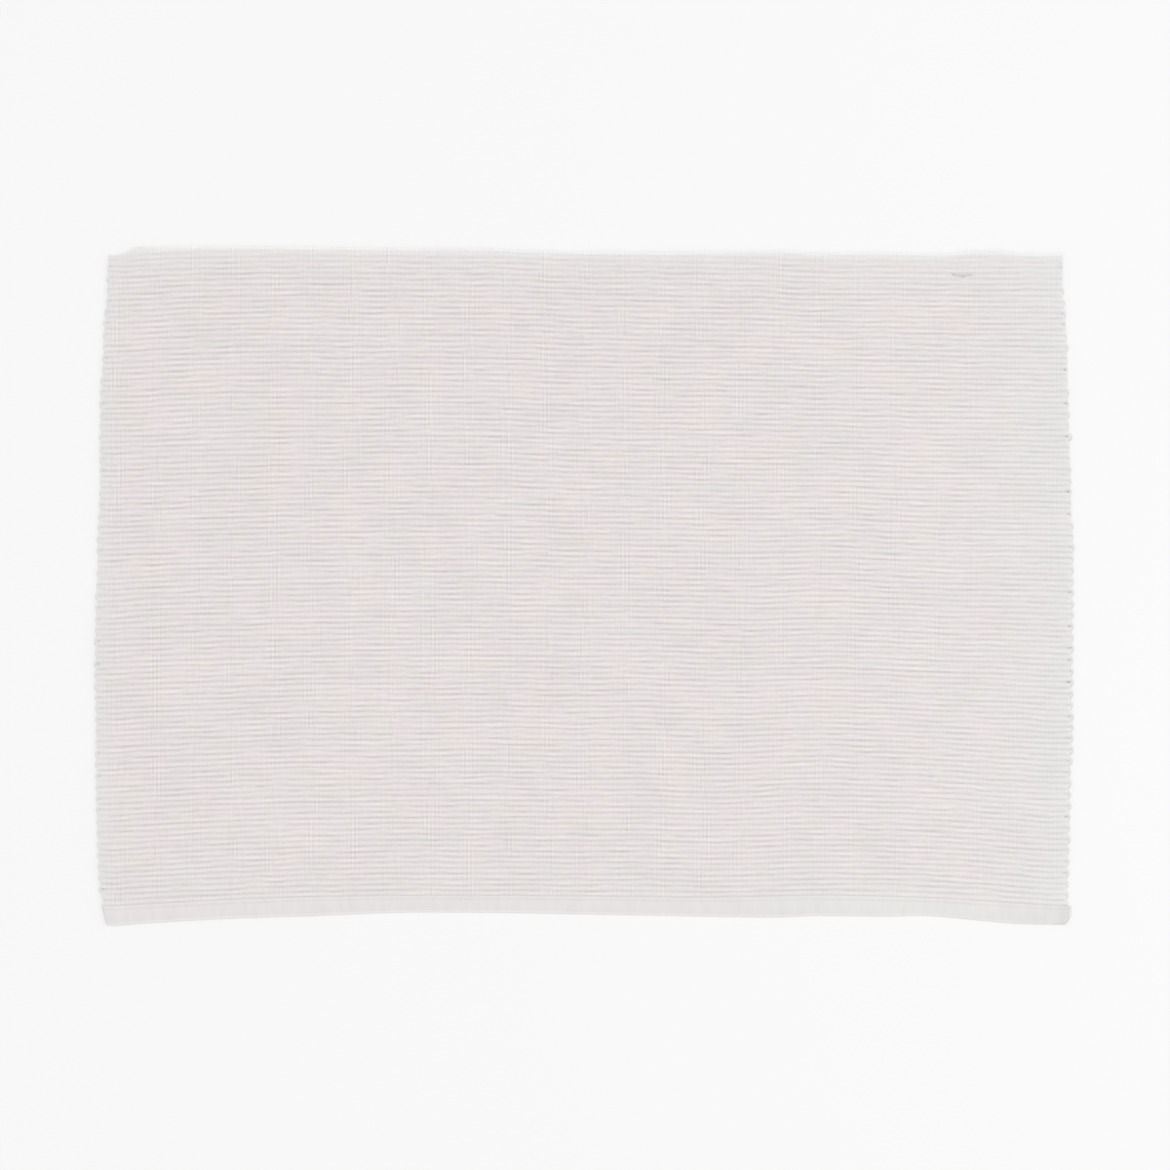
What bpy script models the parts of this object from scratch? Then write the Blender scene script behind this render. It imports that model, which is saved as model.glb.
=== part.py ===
"""Ribbed cotton placemat, lying flat on a table.

It is one piece of cloth. Thick weft cords make ribs that run from one short side to
the other and turn back there in small loops, so the short sides are selvedges. The
two long sides are hems of the same cloth: the front one is a smooth flat band on the
face, the back one is turned under and shows only as its rolled fold.

Metres, +Z up, +X along the ribs, origin on the table under the middle of the mat.
The sizes below are in millimetres.
"""

import math
from collections import namedtuple

import bmesh
import bpy

NAME = "placemat"
MM = 0.001

# The cloth: how many ribs there are, and heights above the table.
RIBS = 115
POINTS_ON_A_RIB = 4
CREST_HEIGHT = 2.2
GROOVE_HEIGHT = 1.5

# The hems: how wide each shows on the face.
BACK_HEM = 3.0
FRONT_HEM_AT_LEFT = 8.5
FRONT_HEM_AT_RIGHT = 10.4

# The selvedges: how far a weft loop swings in and out, and how the side rounds over.
LOOP_AT_LEFT = 0.9
LOOP_AT_RIGHT = 1.3
LOOP_MIDDLE = 0.64
SELVEDGE_HEIGHT_SHARE = 0.5
UNDERSIDE_INSET = 0.4

# The weave is a little uneven: the ribs sway and the cloth varies in thickness.
SWAY = 0.35
SWAY_WAVES_ACROSS = 2.3
SWAY_WAVES_DOWN = 3.7
THICKNESS_SWING = 0.08
THICKNESS_WAVE_ALONG_RIBS = 200.0
THICKNESS_WAVE_ACROSS_RIBS = 146.0

# The long sides, from the left selvedge (0) to the right one (1). Each row is also one
# line of points down the mat; the first and last two rows make the rounded selvedges.
Section = namedtuple("Section", "across back_edge front_edge")
SECTIONS = (
    Section(0.000, 162.4, -165.2),
    Section(0.006, 163.6, -165.8),
    Section(0.120, 165.6, -163.3),
    Section(0.310, 164.6, -160.1),
    Section(0.500, 163.1, -160.8),
    Section(0.700, 162.5, -162.2),
    Section(0.850, 162.1, -161.6),
    Section(0.994, 161.9, -165.8),
    Section(1.000, 161.6, -165.0),
)

# The short sides, from the front of the mat to its back.
Selvedge = namedtuple("Selvedge", "along left right")
SELVEDGES = (
    Selvedge(-166.0, -234.8, 236.6),
    Selvedge(-156.0, -236.4, 237.8),
    Selvedge(-149.0, -237.5, 236.7),
    Selvedge(-127.0, -238.3, 237.2),
    Selvedge(-80.0, -239.8, 239.2),
    Selvedge(-24.0, -240.4, 240.0),
    Selvedge(16.0, -239.4, 239.5),
    Selvedge(71.0, -238.0, 238.6),
    Selvedge(116.0, -236.2, 237.0),
    Selvedge(145.0, -234.8, 235.0),
    Selvedge(166.0, -233.6, 235.4),
)

# The hems in section, from the outer edge to the first groove: the share of the hem's
# width, and the height of the face there.
HemPoint = namedtuple("HemPoint", "share height")
BACK_HEM_SECTION = (HemPoint(0.0, 1.0), HemPoint(0.25, 1.9), HemPoint(0.7, 2.0))
FRONT_HEM_SECTION = (
    HemPoint(0.0, 0.9), HemPoint(0.08, 1.6), HemPoint(0.5, 1.8), HemPoint(0.92, 1.7),
)

# Unbleached cotton, a warm off-white with no gloss.
COTTON_COLOUR = (0.77, 0.73, 0.72, 1.0)
COTTON_ROUGHNESS = 0.95

# A line of points across the mat lies in one of these three zones.
Line = namedtuple("Line", "zone place height")


def clear_scene():
    for item in list(bpy.data.objects):
        bpy.data.objects.remove(item, do_unlink=True)


def lines_from_back_to_front():
    """The lines of points across the mat: the back hem, each rib, the front hem."""
    lines = [Line("back hem", point.share, point.height) for point in BACK_HEM_SECTION]
    for step in range(RIBS * POINTS_ON_A_RIB + 1):
        place = step / POINTS_ON_A_RIB
        around = 2.0 * (place % 1.0) - 1.0
        roundness = math.sqrt(1.0 - around * around)
        height = GROOVE_HEIGHT + (CREST_HEIGHT - GROOVE_HEIGHT) * roundness
        lines.append(Line("ribs", place, height))
    for point in reversed(FRONT_HEM_SECTION):
        lines.append(Line("front hem", point.share, point.height))
    return lines


def depth_of(line, section):
    """How far back a line of points lies where it meets a section."""
    front_hem = FRONT_HEM_AT_LEFT
    front_hem += (FRONT_HEM_AT_RIGHT - FRONT_HEM_AT_LEFT) * section.across
    if line.zone == "back hem":
        return section.back_edge - BACK_HEM * line.place
    if line.zone == "front hem":
        return section.front_edge + front_hem * line.place
    first_groove = section.back_edge - BACK_HEM
    last_groove = section.front_edge + front_hem
    down = line.place / RIBS
    waves = SWAY_WAVES_ACROSS * section.across + SWAY_WAVES_DOWN * down
    sway = SWAY * math.sin(math.tau * waves) * math.sin(math.pi * down)
    return first_groove + (last_groove - first_groove) * down + sway


def selvedge_at(depth, side):
    """Where one short side lies, read from its table by straight lines."""
    for nearer, farther in zip(SELVEDGES, SELVEDGES[1:]):
        if depth <= farther.along or farther is SELVEDGES[-1]:
            share = (depth - nearer.along) / (farther.along - nearer.along)
            start = getattr(nearer, side)
            return start + (getattr(farther, side) - start) * share


def loop_swing(line, first_loop, swing):
    """How far a weft loop, which takes in the ends of two ribs, stands out there."""
    if line.zone != "ribs":
        return 0.0
    roundness = abs(math.sin(math.pi * (line.place - first_loop) / 2.0))
    return swing * (roundness - LOOP_MIDDLE)


def point_of(line, section):
    """The place of one point of the face, in metres."""
    depth = depth_of(line, section)
    left = selvedge_at(depth, "left")
    right = selvedge_at(depth, "right")
    side = left + (right - left) * section.across
    wave = math.sin(math.tau * side / THICKNESS_WAVE_ALONG_RIBS)
    wave *= math.sin(math.tau * depth / THICKNESS_WAVE_ACROSS_RIBS)
    height = line.height + THICKNESS_SWING * wave
    if section is SECTIONS[0]:
        side -= loop_swing(line, 1.0, LOOP_AT_LEFT)
        height *= SELVEDGE_HEIGHT_SHARE
    if section is SECTIONS[-1]:
        side += loop_swing(line, 0.0, LOOP_AT_RIGHT)
        height *= SELVEDGE_HEIGHT_SHARE
    return side * MM, depth * MM, height * MM


def shape_face(mesh, lines):
    """Lay a flat grid out as the ribbed face of the mat."""
    bmesh.ops.create_grid(
        mesh, x_segments=len(SECTIONS) - 1, y_segments=len(lines) - 1, size=0.5
    )
    for vertex in mesh.verts:
        section = SECTIONS[round((vertex.co.x + 0.5) * (len(SECTIONS) - 1))]
        line = lines[round((0.5 - vertex.co.y) * (len(lines) - 1))]
        vertex.co = point_of(line, section)


def close_underside(mesh):
    """Turn the rim down to the table, drawn in a little, and close it with a flat face."""
    rim = [edge for edge in mesh.edges if edge.is_boundary]
    turned = bmesh.ops.extrude_edge_only(mesh, edges=rim)["geom"]
    half_width = max(abs(vertex.co.x) for vertex in mesh.verts)
    half_depth = max(abs(vertex.co.y) for vertex in mesh.verts)
    for vertex in (item for item in turned if isinstance(item, bmesh.types.BMVert)):
        vertex.co.x *= 1.0 - UNDERSIDE_INSET * MM / half_width
        vertex.co.y *= 1.0 - UNDERSIDE_INSET * MM / half_depth
        vertex.co.z = 0.0
    open_edges = [edge for edge in mesh.edges if edge.is_boundary]
    bmesh.ops.edgeloop_fill(mesh, edges=open_edges)
    bmesh.ops.recalc_face_normals(mesh, faces=mesh.faces)


def centre(mesh):
    """Move the mat so that the origin lies under the middle of its outline."""
    for axis in (0, 1):
        places = [vertex.co[axis] for vertex in mesh.verts]
        offset = -(min(places) + max(places)) / 2.0
        move = (offset, 0.0, 0.0) if axis == 0 else (0.0, offset, 0.0)
        bmesh.ops.translate(mesh, verts=mesh.verts, vec=move)


def cotton():
    material = bpy.data.materials.new("off_white_cotton")
    material.use_nodes = True
    shader = material.node_tree.nodes["Principled BSDF"]
    shader.inputs["Base Color"].default_value = COTTON_COLOUR
    shader.inputs["Roughness"].default_value = COTTON_ROUGHNESS
    shader.inputs["Metallic"].default_value = 0.0
    material.diffuse_color = COTTON_COLOUR
    return material


def build_placemat(collection):
    mesh = bmesh.new()
    shape_face(mesh, lines_from_back_to_front())
    close_underside(mesh)
    centre(mesh)
    data = bpy.data.meshes.new(NAME)
    mesh.to_mesh(data)
    mesh.free()
    data.materials.append(cotton())
    placemat = bpy.data.objects.new(NAME, data)
    collection.objects.link(placemat)
    return placemat


clear_scene()
placemat_collection = bpy.data.collections.new("ribbed_placemat")
bpy.context.scene.collection.children.link(placemat_collection)
build_placemat(placemat_collection)
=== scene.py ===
import math
import random
from bisect import bisect_right
from collections import namedtuple

import bmesh
import bpy
from mathutils import Matrix, Vector, noise


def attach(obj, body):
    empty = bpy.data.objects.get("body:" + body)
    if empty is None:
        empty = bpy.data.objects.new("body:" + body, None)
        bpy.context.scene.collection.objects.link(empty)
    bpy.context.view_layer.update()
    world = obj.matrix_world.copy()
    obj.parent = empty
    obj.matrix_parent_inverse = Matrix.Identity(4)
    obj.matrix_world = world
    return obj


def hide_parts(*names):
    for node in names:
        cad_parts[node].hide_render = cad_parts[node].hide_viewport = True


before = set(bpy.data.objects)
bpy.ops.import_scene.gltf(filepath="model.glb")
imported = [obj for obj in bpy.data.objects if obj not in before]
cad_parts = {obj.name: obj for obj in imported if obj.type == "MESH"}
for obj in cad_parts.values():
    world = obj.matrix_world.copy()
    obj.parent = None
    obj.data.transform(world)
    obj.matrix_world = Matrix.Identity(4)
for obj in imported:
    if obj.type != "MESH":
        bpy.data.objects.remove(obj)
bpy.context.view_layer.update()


# ---- The ribbed cloth ----------------------------------------------------------------
# One length of corded cotton. Thick weft cords lie close together under fine warp threads,
# so each cord makes a rib from one short side to the other. The cloth is handwoven and
# soft: the ribs wander, and here and there a groove between them is shallow for a stretch.

# Sizes and places, here and below, are in millimetres from the middle of the mat, and +Y is
# towards its back.
MM = 0.001
RIBS = 115
RIB_PITCH = 2.728
FIRST_GROOVE = 161.9
CREST_HEIGHT = 2.15
GROOVE_HEIGHT = 1.35
EDGE_HEIGHT = 0.95
GROOVE_UNDERNEATH = 0.45
RIB_ROUNDNESS = 0.85

# How the ribs sway: how far, over what length along them, how many of them sway together,
# and the lane of the noise, which keeps this sway apart from the rest. The ribs beside the
# two hems are firm.
Sway = namedtuple("Sway", "amount length ribs lane")
SWAYS = (
    Sway(0.7, 50.0, 26.0, 5.0),
    Sway(0.3, 16.0, 5.5, 9.0),
    Sway(0.2, 9.0, 2.4, 13.0),
    Sway(0.36, 13.0, 0.9, 17.0),
)
FIRM_RIBS_AT_BACK = 1.0
FIRM_RIBS_AT_FRONT = 2.0

# How the grooves and the crests vary in height: how much, over what length along them, how
# far the noise steps from one rib to the next, and its lane.
Uneven = namedtuple("Uneven", "amount length step lane")
UNEVEN_GROOVES = Uneven(0.55, 12.0, 3.1, 2.0)
UNEVEN_CRESTS = Uneven(0.1, 25.0, 4.7, 7.0)

# The grooves are shallower near the back edge and at the two sides, but for the eye that each
# weft loop leaves where it turns. No two eyes are equally deep, and the left ones are shallow.
SHALLOW_NEAR_BACK = 0.55
SHALLOW_FROM, SHALLOW_TO = 3.0, 10.0
SHALLOW_AT_SIDES = 0.5
SIDES_TO = 6.0
EYE_INSET = 0.9
EYE_SIZE = 1.7
EYE_DEPTH = 0.75
EYES_AT_LEFT = 0.5
EYE_VARIES = 0.8
EYE_STEP, EYE_LANE = 2.3, 17.0

# The mat is soft, so it stands off the table a little in long low waves.
LIFT_OFF_TABLE = 0.25
LIFT_ALONG, LIFT_ACROSS, LIFT_LANE = 60.0, 42.0, 3.0

# The long sides, from left to right: where the folded back edge and the front edge lie.
LongSides = namedtuple("LongSides", "along back front")
LONG_SIDES = (
    LongSides(-234.0, 162.1, -166.0),
    LongSides(-229.0, 163.4, -165.6),
    LongSides(-224.5, 164.7, -165.2),
    LongSides(-220.0, 164.9, -164.9),
    LongSides(-200.0, 165.4, -163.7),
    LongSides(-175.0, 165.5, -162.5),
    LongSides(-139.0, 165.1, -161.3),
    LongSides(-102.0, 164.6, -159.9),
    LongSides(-82.0, 164.5, -159.5),
    LongSides(-46.0, 164.3, -159.6),
    LongSides(-36.0, 163.6, -159.7),
    LongSides(-11.0, 163.1, -160.2),
    LongSides(15.0, 162.8, -160.7),
    LongSides(45.0, 162.8, -161.3),
    LongSides(90.0, 163.3, -162.0),
    LongSides(103.0, 163.1, -161.7),
    LongSides(113.0, 162.3, -161.2),
    LongSides(150.0, 162.4, -161.5),
    LongSides(168.0, 161.9, -161.2),
    LongSides(183.0, 161.9, -162.2),
    LongSides(191.0, 162.9, -163.0),
    LongSides(205.0, 163.3, -164.3),
    LongSides(217.0, 162.1, -165.1),
    LongSides(236.0, 161.9, -165.5),
)

# The short sides, from front to back: the line halfway between the loops' tips and notches.
Selvedges = namedtuple("Selvedges", "depth left right")
SELVEDGES = (
    Selvedges(-166.0, -234.6, 236.8),
    Selvedges(-156.0, -236.4, 237.4),
    Selvedges(-149.0, -237.6, 236.9),
    Selvedges(-138.0, -238.3, 237.4),
    Selvedges(-122.0, -239.0, 237.7),
    Selvedges(-105.0, -239.4, 238.0),
    Selvedges(-89.0, -239.6, 238.4),
    Selvedges(-73.0, -239.7, 239.4),
    Selvedges(-51.0, -239.9, 239.0),
    Selvedges(-30.0, -240.1, 239.6),
    Selvedges(-8.0, -239.5, 239.5),
    Selvedges(13.0, -238.8, 239.8),
    Selvedges(24.0, -238.7, 239.9),
    Selvedges(35.0, -238.0, 238.9),
    Selvedges(56.0, -237.6, 238.6),
    Selvedges(78.0, -237.6, 237.7),
    Selvedges(99.0, -237.2, 237.3),
    Selvedges(110.0, -236.2, 237.0),
    Selvedges(126.0, -235.8, 236.4),
    Selvedges(137.0, -234.7, 235.5),
    Selvedges(145.0, -234.0, 234.7),
    Selvedges(166.0, -233.8, 234.9),
)
# How far short of those lines the cloth ends, where its weft goes on as loops. On the right
# the loops are pulled tighter towards the back, and there the cloth ends nearer to their tips.
LEFT_LOOP_ROOM = 0.8
RIGHT_LOOP_ROOM = 0.6
TIGHTER_ROOM = 0.3
TIGHTER_FROM, TIGHTER_TO = -30.0, 50.0

# How far the ribs bow towards the back of the mat, in its back, middle and front parts.
RibBow = namedtuple("RibBow", "along back middle front")
RIB_BOW = (
    RibBow(-232.0, 0.0, -2.9, -4.85),
    RibBow(-175.0, 2.3, -0.4, -1.75),
    RibBow(-120.0, 2.2, 0.4, -0.2),
    RibBow(-60.0, 2.1, 1.1, 0.15),
    RibBow(0.0, 0.1, 0.0, -0.1),
    RibBow(60.0, -0.7, -0.6, -0.7),
    RibBow(120.0, -2.5, -0.7, 0.25),
    RibBow(175.0, -3.1, -2.1, -1.2),
    RibBow(232.0, -3.7, -4.0, -4.7),
)
RIBS_TO_BACK_BOW = 6
RIBS_TO_MIDDLE_BOW = 60
RIBS_TO_FRONT_BOW = 105

# The mesh: rows across each rib, columns along it, and closer ones at the edges. The first
# few ribs are eased towards the back edge, so that they follow it.
ROWS_ON_A_RIB = 6
COLUMNS = 92
SELVEDGE_COLUMNS = (0.0, 0.25, 0.7, 1.3, 2.2, 3.4)
FOLD_ROWS = (-1.0, -0.96, -0.86, -0.7)
HEM_ROWS = [RIBS + share for share in (0.04, 0.12, 0.5, 0.85)]
RIBS_EASED_TO_FOLD = 4
SIDE_ROUNDING = 1.0
FOLD_ROUNDING = 1.7

# Room for the layers of the two hems under and over the cloth.
BACK_HEM_TURNED_UNDER = 12.0
BACK_HEM_ROOM = 0.55
FRONT_HEM_ROOM_BELOW = 0.5
FRONT_HEM_ROOM_ABOVE = 1.0
RAMP_TO_HEM = 2.5

# Towards its edges the cloth is plainer, with fewer patches of colour and less shade between its
# ribs. In some places it also gets painted light: a painted highlight close to the two sides,
# where they round over, and a faint painted light that grows towards the right, where the light is
# stronger. How strongly, and from how far in, for each edge.
PlainRim = namedtuple("PlainRim", "edge strength width paler")
PLAIN_RIMS = (
    PlainRim("back", 1.0, 10.0, 0.0),
    PlainRim("back", 0.5, 28.0, 0.0),
    PlainRim("left", 0.85, 13.0, 0.0),
    PlainRim("left", 0.0, 1.3, 0.5),
    PlainRim("right", 0.8, 60.0, 0.0),
    PlainRim("right", 0.0, 200.0, 0.09),
    PlainRim("right", 0.0, 2.5, 0.35),
    PlainRim("front", 0.35, 30.0, 0.0),
)
# The back edge is rolled and comes out a little further, except at its left end. Its rounded roll
# gets a painted highlight, for the light from the back falling on it, which also fades out towards
# that end.
THIN_RIM = 1.2
ROLL_HIGHLIGHT_WIDTH = 4.6
ROLL_HIGHLIGHT_FADE = 2.3
THIN_RIM_FROM, THIN_RIM_FULL, ROLL_HIGHLIGHT_FULL = -232.0, -226.0, -205.0


def smooth(table, name):
    """The smooth curve through a named column of a table, as a function of its first column."""
    at = [row[0] for row in table]
    value = [getattr(row, name) for row in table]
    last = len(at) - 1
    slope = []
    for i in range(len(at)):
        before, after = max(i - 1, 0), min(i + 1, last)
        slope.append((value[after] - value[before]) / (at[after] - at[before]))

    def read(place):
        i = min(max(bisect_right(at, place) - 1, 0), last - 1)
        step = at[i + 1] - at[i]
        t = min(max((place - at[i]) / step, 0.0), 1.0)
        level = value[i] * (1 + 2 * t) * (1 - t) ** 2 + value[i + 1] * t * t * (3 - 2 * t)
        return level + step * (slope[i] * t * (1 - t) ** 2 - slope[i + 1] * t * t * (1 - t))

    return read


def swing(*places):
    """A smooth random value from about -1 to 1, which depends on the place alone."""
    return noise.noise(Vector((*places, 0.0, 0.0)[:3]))


def ramp(value, start, end):
    """0 before start, 1 after end, and smooth between them."""
    t = min(max((value - start) / (end - start), 0.0), 1.0)
    return t * t * (3 - 2 * t)


def round_over(inset, radius):
    """The height share of a rounded edge, at a distance in from it."""
    return math.sqrt(1.0 - (1.0 - min(max(inset / radius, 0.0), 1.0)) ** 2)


back_edge = smooth(LONG_SIDES, "back")
front_edge = smooth(LONG_SIDES, "front")
left_edge = smooth(SELVEDGES, "left")
right_edge = smooth(SELVEDGES, "right")
bow_at_back = smooth(RIB_BOW, "back")
bow_in_middle = smooth(RIB_BOW, "middle")
bow_at_front = smooth(RIB_BOW, "front")

Column = namedtuple("Column", "share along back front bow_back bow_middle bow_front")


def column_at(share):
    """A line across the ribs, at a share of the way from the left selvedge to the right."""
    left, right = left_edge(0.0), right_edge(0.0)
    along = left + (right - left) * share
    rim = THIN_RIM * ramp(along, THIN_RIM_FROM, THIN_RIM_FULL)
    return Column(
        share, along, back_edge(along) + rim, front_edge(along),
        bow_at_back(along), bow_in_middle(along), bow_at_front(along),
    )


def groove_depth(place, column):
    """How far back a rib line lies. Place 0 is the first groove, 1 the next, and so on."""
    if place < RIBS_TO_MIDDLE_BOW:
        share = (place - RIBS_TO_BACK_BOW) / (RIBS_TO_MIDDLE_BOW - RIBS_TO_BACK_BOW)
        start, end = column.bow_back, column.bow_middle
    else:
        share = (place - RIBS_TO_MIDDLE_BOW) / (RIBS_TO_FRONT_BOW - RIBS_TO_MIDDLE_BOW)
        start, end = column.bow_middle, column.bow_front
    share = min(max(share, 0.0), 1.0)
    return FIRST_GROOVE - RIB_PITCH * place + start + (end - start) * share


def lay_rib_line(place, column):
    """Where a row of the cloth crosses a column: how far back, and on which rib."""
    if place > RIBS:
        groove = groove_depth(RIBS, column)
        return groove + (column.front - groove) * (place - RIBS), RIBS
    depth = groove_depth(place, column)
    rib = place
    if place < RIBS_EASED_TO_FOLD:
        easing = (RIBS_EASED_TO_FOLD - place) / (RIBS_EASED_TO_FOLD - FOLD_ROWS[0])
        shift = (column.back - groove_depth(FOLD_ROWS[0], column)) * easing
        depth += shift
        rib -= shift / RIB_PITCH
    loose = ramp(place, FOLD_ROWS[0], FIRM_RIBS_AT_BACK)
    loose *= 1.0 - ramp(place, RIBS - FIRM_RIBS_AT_FRONT, RIBS)
    wander = 0.0
    for sway in SWAYS:
        wander += sway.amount * swing(column.along / sway.length, place / sway.ribs, sway.lane)
    return depth + wander * loose, rib


def eye_at(place, inside):
    """How much of a loop's eye a point has, from 0 outside it to about 1 in the middle of a deep
    one. The left loops turn round the even grooves and the right ones round the odd."""
    at_left = round(place) % 2 == 0
    inset = inside["left"] if at_left else inside["right"]
    near = (EYES_AT_LEFT if at_left else 1.0) * (1.0 - ramp(abs(inset - EYE_INSET), 0.0, EYE_SIZE))
    unlike = abs(swing(round(place) * EYE_STEP, EYE_LANE))
    return near * (1.0 - EYE_VARIES + 2.0 * EYE_VARIES * unlike)


def height_change(uneven, along, number):
    """How much higher or lower a groove or a crest lies there than it would in an even cloth."""
    return uneven.amount * swing(along / uneven.length, number * uneven.step, uneven.lane)


def cloth_heights(rib, place, along, depth, inside):
    """How high the face and the underside of the cloth lie there, before the edges round off."""
    roundness = abs(math.sin(math.pi * rib)) ** RIB_ROUNDNESS
    groove = GROOVE_HEIGHT + height_change(UNEVEN_GROOVES, along, round(rib))
    crest = CREST_HEIGHT + height_change(UNEVEN_CRESTS, along, math.floor(rib))
    shallow = SHALLOW_NEAR_BACK * (1.0 - ramp(inside["back"], SHALLOW_FROM, SHALLOW_TO))
    from_side = min(inside["left"], inside["right"])
    shallow = max(shallow, SHALLOW_AT_SIDES * (1.0 - ramp(from_side, 0.0, SIDES_TO)))
    groove += (crest - groove) * shallow - EYE_DEPTH * eye_at(place, inside)
    face = groove + (crest - groove) * roundness
    underside = GROOVE_UNDERNEATH * (1.0 - roundness)
    past_hem = ramp(inside["back"], BACK_HEM_TURNED_UNDER, BACK_HEM_TURNED_UNDER + RAMP_TO_HEM)
    underside += (max(underside, BACK_HEM_ROOM) - underside) * (1.0 - past_hem)
    in_front_hem = ramp(place, RIBS - RAMP_TO_HEM / RIB_PITCH, RIBS)
    underside += (FRONT_HEM_ROOM_BELOW - underside) * in_front_hem
    if place > RIBS:
        face = FRONT_HEM_ROOM_ABOVE
    return face, underside


def rims_at(inside, name):
    """The strongest share that the plain rims give a point, from its distances to the edges."""
    return max(
        getattr(rim, name) * (1.0 - ramp(inside[rim.edge], 0.0, rim.width)) for rim in PLAIN_RIMS
    )


def painted_light_at(place, rib, along, inside):
    """Painted light, up to 1, on the rims, and painted shade, down to about -1, in an eye."""
    # The painted highlight on the back roll, which fades in from the roll's left end.
    rim = max(1.0 - inside["back"] / ROLL_HIGHLIGHT_WIDTH, 0.0) ** ROLL_HIGHLIGHT_FADE
    rim *= ramp(along, THIN_RIM_FROM, ROLL_HIGHLIGHT_FULL)
    in_groove = 1.0 - abs(math.sin(math.pi * rib))
    return max(rim, rims_at(inside, "paler")) - eye_at(place, inside) * in_groove


def lift_at(along, depth):
    """How far the cloth stands off the table there."""
    wave = swing(along / LIFT_ALONG, depth / LIFT_ACROSS, LIFT_LANE)
    return LIFT_OFF_TABLE * (0.5 + 0.5 * wave)


def spread_columns(insets, count):
    """Columns from the left selvedge to the right as shares of the width, closer at both ends."""
    width = right_edge(0.0) - left_edge(0.0)
    near = [inset / width for inset in insets]
    step = (1.0 - 2.0 * near[-1]) / count
    middle = [near[-1] + step * number for number in range(count + 1)]
    return near[:-1] + middle + [1.0 - inset for inset in reversed(near[:-1])]


def weave_cloth():
    """The closed sheet: a grid laid out rib by rib, extruded down to its underside."""
    ribbed = range(-ROWS_ON_A_RIB // 2, RIBS * ROWS_ON_A_RIB + 1)
    rows = [*FOLD_ROWS, *(step / ROWS_ON_A_RIB for step in ribbed), *HEM_ROWS]
    columns = [column_at(share) for share in spread_columns(SELVEDGE_COLUMNS, COLUMNS)]

    cloth = bmesh.new()
    bmesh.ops.create_grid(cloth, x_segments=len(columns) - 1, y_segments=len(rows) - 1, size=0.5)
    row_of = cloth.verts.layers.int.new("row")
    column_of = cloth.verts.layers.int.new("column")
    weave = cloth.verts.layers.float_vector.new("weave")
    tone = cloth.verts.layers.float.new("tone")
    for vertex in cloth.verts:
        vertex[column_of] = round((vertex.co.x + 0.5) * (len(columns) - 1))
        vertex[row_of] = round((0.5 - vertex.co.y) * (len(rows) - 1))
    made = bmesh.ops.extrude_face_region(cloth, geom=cloth.faces[:], use_keep_orig=True)
    face_side = {item for item in made["geom"] if isinstance(item, bmesh.types.BMVert)}
    for vertex in cloth.verts:
        column = columns[vertex[column_of]]
        place = rows[vertex[row_of]]
        depth, rib = lay_rib_line(place, column)
        left, right = left_edge(depth) + LEFT_LOOP_ROOM, right_edge(depth) - RIGHT_LOOP_ROOM
        right += TIGHTER_ROOM * ramp(depth, TIGHTER_FROM, TIGHTER_TO)
        along = left + (right - left) * column.share
        inside = {
            "left": along - left, "right": right - along,
            "back": column.back - depth, "front": depth - groove_depth(RIBS, column),
        }
        face, underside = cloth_heights(rib, place, along, depth, inside)
        rounding = round_over(min(inside["left"], inside["right"]), SIDE_ROUNDING)
        rounding *= round_over(inside["back"], FOLD_ROUNDING)
        height = face if vertex in face_side else underside
        height = EDGE_HEIGHT + (height - EDGE_HEIGHT) * rounding
        vertex.co = (along, depth, height + lift_at(along, depth))
        vertex[weave] = (along, rib, rims_at(inside, "strength"))
        vertex[tone] = painted_light_at(place, rib, along, inside)

    # The underside needs only half the columns and rows, because it lies on the table.
    spare = []
    for edge in cloth.edges:
        a, b = edge.verts
        if a in face_side or b in face_side:
            continue
        if a[row_of] == b[row_of]:
            number, last = a[row_of], len(rows) - 1
        else:
            number, last = a[column_of], len(columns) - 1
        if number % 2 and number != last:
            spare.append(edge)
    bmesh.ops.dissolve_edges(cloth, edges=spare, use_verts=True)
    bmesh.ops.recalc_face_normals(cloth, faces=cloth.faces[:])
    return cloth


def put_in_scene(name, shape, material):
    """Turns a bmesh in metres into an object of one material."""
    mesh = bpy.data.meshes.new(name)
    shape.to_mesh(mesh)
    shape.free()
    mesh.materials.append(material)
    made = bpy.data.objects.new(name, mesh)
    bpy.context.scene.collection.objects.link(made)
    return made


def finish_piece(name, shape, material):
    """Turns a bmesh in millimetres into a smooth cotton piece, which rides on the root."""
    bmesh.ops.scale(shape, vec=(MM, MM, MM), verts=shape.verts[:])
    for face in shape.faces:
        face.smooth = True
    piece = put_in_scene(name, shape, material)
    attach(piece, "root")
    return piece


def linear(code):
    """An sRGB hex colour as the linear colour that nodes take."""
    channels = [int(code[i:i + 2], 16) / 255.0 for i in (1, 3, 5)]
    return [c / 12.92 if c <= 0.04045 else ((c + 0.055) / 1.055) ** 2.4 for c in channels] + [1.0]


def add_node(tree, kind, inputs, **settings):
    """Adds a node. Its inputs are given in order, or by name in a dictionary, and each is a
    value, an output socket, or a node whose first output is used."""
    made = tree.nodes.new("ShaderNode" + kind)
    for name, value in settings.items():
        setattr(made, name, value)
    if not isinstance(inputs, dict):
        inputs = dict(enumerate(inputs))
    for socket, value in inputs.items():
        if isinstance(value, bpy.types.Node):
            value = value.outputs[0]
        if isinstance(value, bpy.types.NodeSocket):
            tree.links.new(value, made.inputs[socket])
        else:
            made.inputs[socket].default_value = value
    return made


def start_material(name):
    """A new material, with its node tree and its shader."""
    material = bpy.data.materials.new(name)
    material.use_nodes = True
    tree = material.node_tree
    return material, tree, tree.nodes["Principled BSDF"]


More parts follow.
